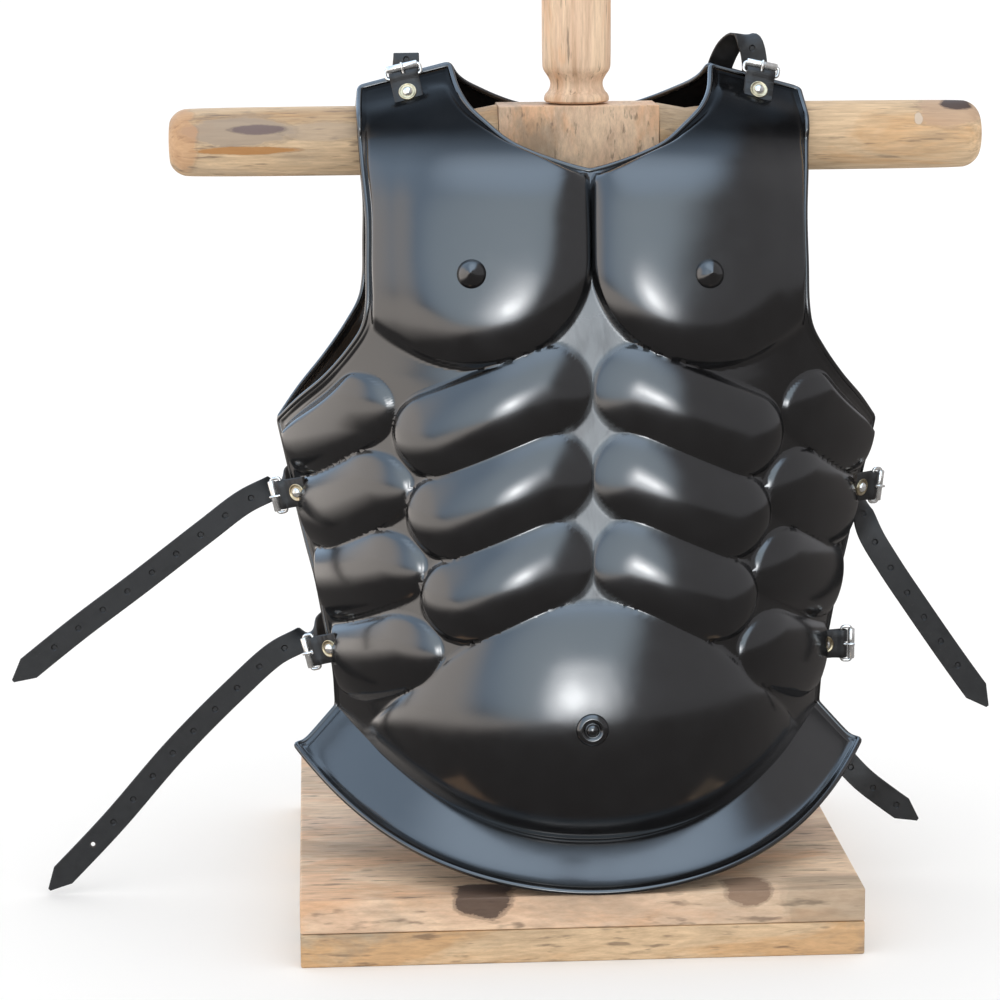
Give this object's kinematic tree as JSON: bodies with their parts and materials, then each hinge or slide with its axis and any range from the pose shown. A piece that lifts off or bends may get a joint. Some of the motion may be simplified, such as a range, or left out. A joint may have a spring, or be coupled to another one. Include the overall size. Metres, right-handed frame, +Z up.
{
  "type": "steel muscle breastplate with back plate on a wooden stand",
  "caption": "Muscle-shaped black breastplate, joined by leather straps and roller buckles to a back plate, hung on a wooden T-shaped stand with a square base.",
  "frame": {"origin": "the foot of the post's axis, on the underside of the stand's base", "axes": "+Z up, -Y the way the chest faces, +X the wearer's left, along the crossbar"},
  "size_m": [0.7324, 0.4078, 0.69],
  "materials": {
    "black_enamel": "gloss black enamel over steel",
    "leather": "smooth black dyed leather with raw edges",
    "nickel_steel": "polished nickel plate",
    "wood": "sanded pine, lightly oiled"
  },
  "bodies": {
    "root": {"stand_base_lower_board": "wood", "stand_base_upper_board": "wood", "stand_post": "wood", "stand_finial": "wood", "stand_bar_block": "wood", "stand_bar_arm_left": "wood", "stand_bar_arm_right": "wood", "front_plate": "black_enamel", "back_plate": "black_enamel", "buckle_left_shoulder_chape": "leather", "buckle_left_shoulder_frame": "nickel_steel", "buckle_left_shoulder_roller": "nickel_steel", "buckle_left_shoulder_tongue": "nickel_steel", "buckle_left_shoulder_rivet": "nickel_steel", "buckle_right_shoulder_chape": "leather", "buckle_right_shoulder_frame": "nickel_steel", "buckle_right_shoulder_roller": "nickel_steel", "buckle_right_shoulder_tongue": "nickel_steel", "buckle_right_shoulder_rivet": "nickel_steel", "buckle_left_upper_chape": "leather", "buckle_left_upper_frame": "nickel_steel", "buckle_left_upper_roller": "nickel_steel", "buckle_left_upper_tongue": "nickel_steel", "buckle_left_upper_rivet": "nickel_steel", "buckle_left_lower_chape": "leather", "buckle_left_lower_frame": "nickel_steel", "buckle_left_lower_roller": "nickel_steel", "buckle_left_lower_tongue": "nickel_steel", "buckle_left_lower_rivet": "nickel_steel", "buckle_right_upper_chape": "leather", "buckle_right_upper_frame": "nickel_steel", "buckle_right_upper_roller": "nickel_steel", "buckle_right_upper_tongue": "nickel_steel", "buckle_right_upper_rivet": "nickel_steel", "buckle_right_lower_chape": "leather", "buckle_right_lower_frame": "nickel_steel", "buckle_right_lower_roller": "nickel_steel", "buckle_right_lower_tongue": "nickel_steel", "buckle_right_lower_rivet": "nickel_steel", "strap_left_upper": "leather", "strap_left_upper_rivet": "nickel_steel", "strap_left_lower": "leather", "strap_left_lower_rivet": "nickel_steel", "strap_right_upper": "leather", "strap_right_upper_rivet": "nickel_steel", "strap_right_lower": "leather", "strap_right_lower_rivet": "nickel_steel", "strap_left_shoulder": "leather", "strap_left_shoulder_rivet": "nickel_steel", "strap_right_shoulder": "leather", "strap_right_shoulder_rivet": "nickel_steel"}
  },
  "joints": []
}
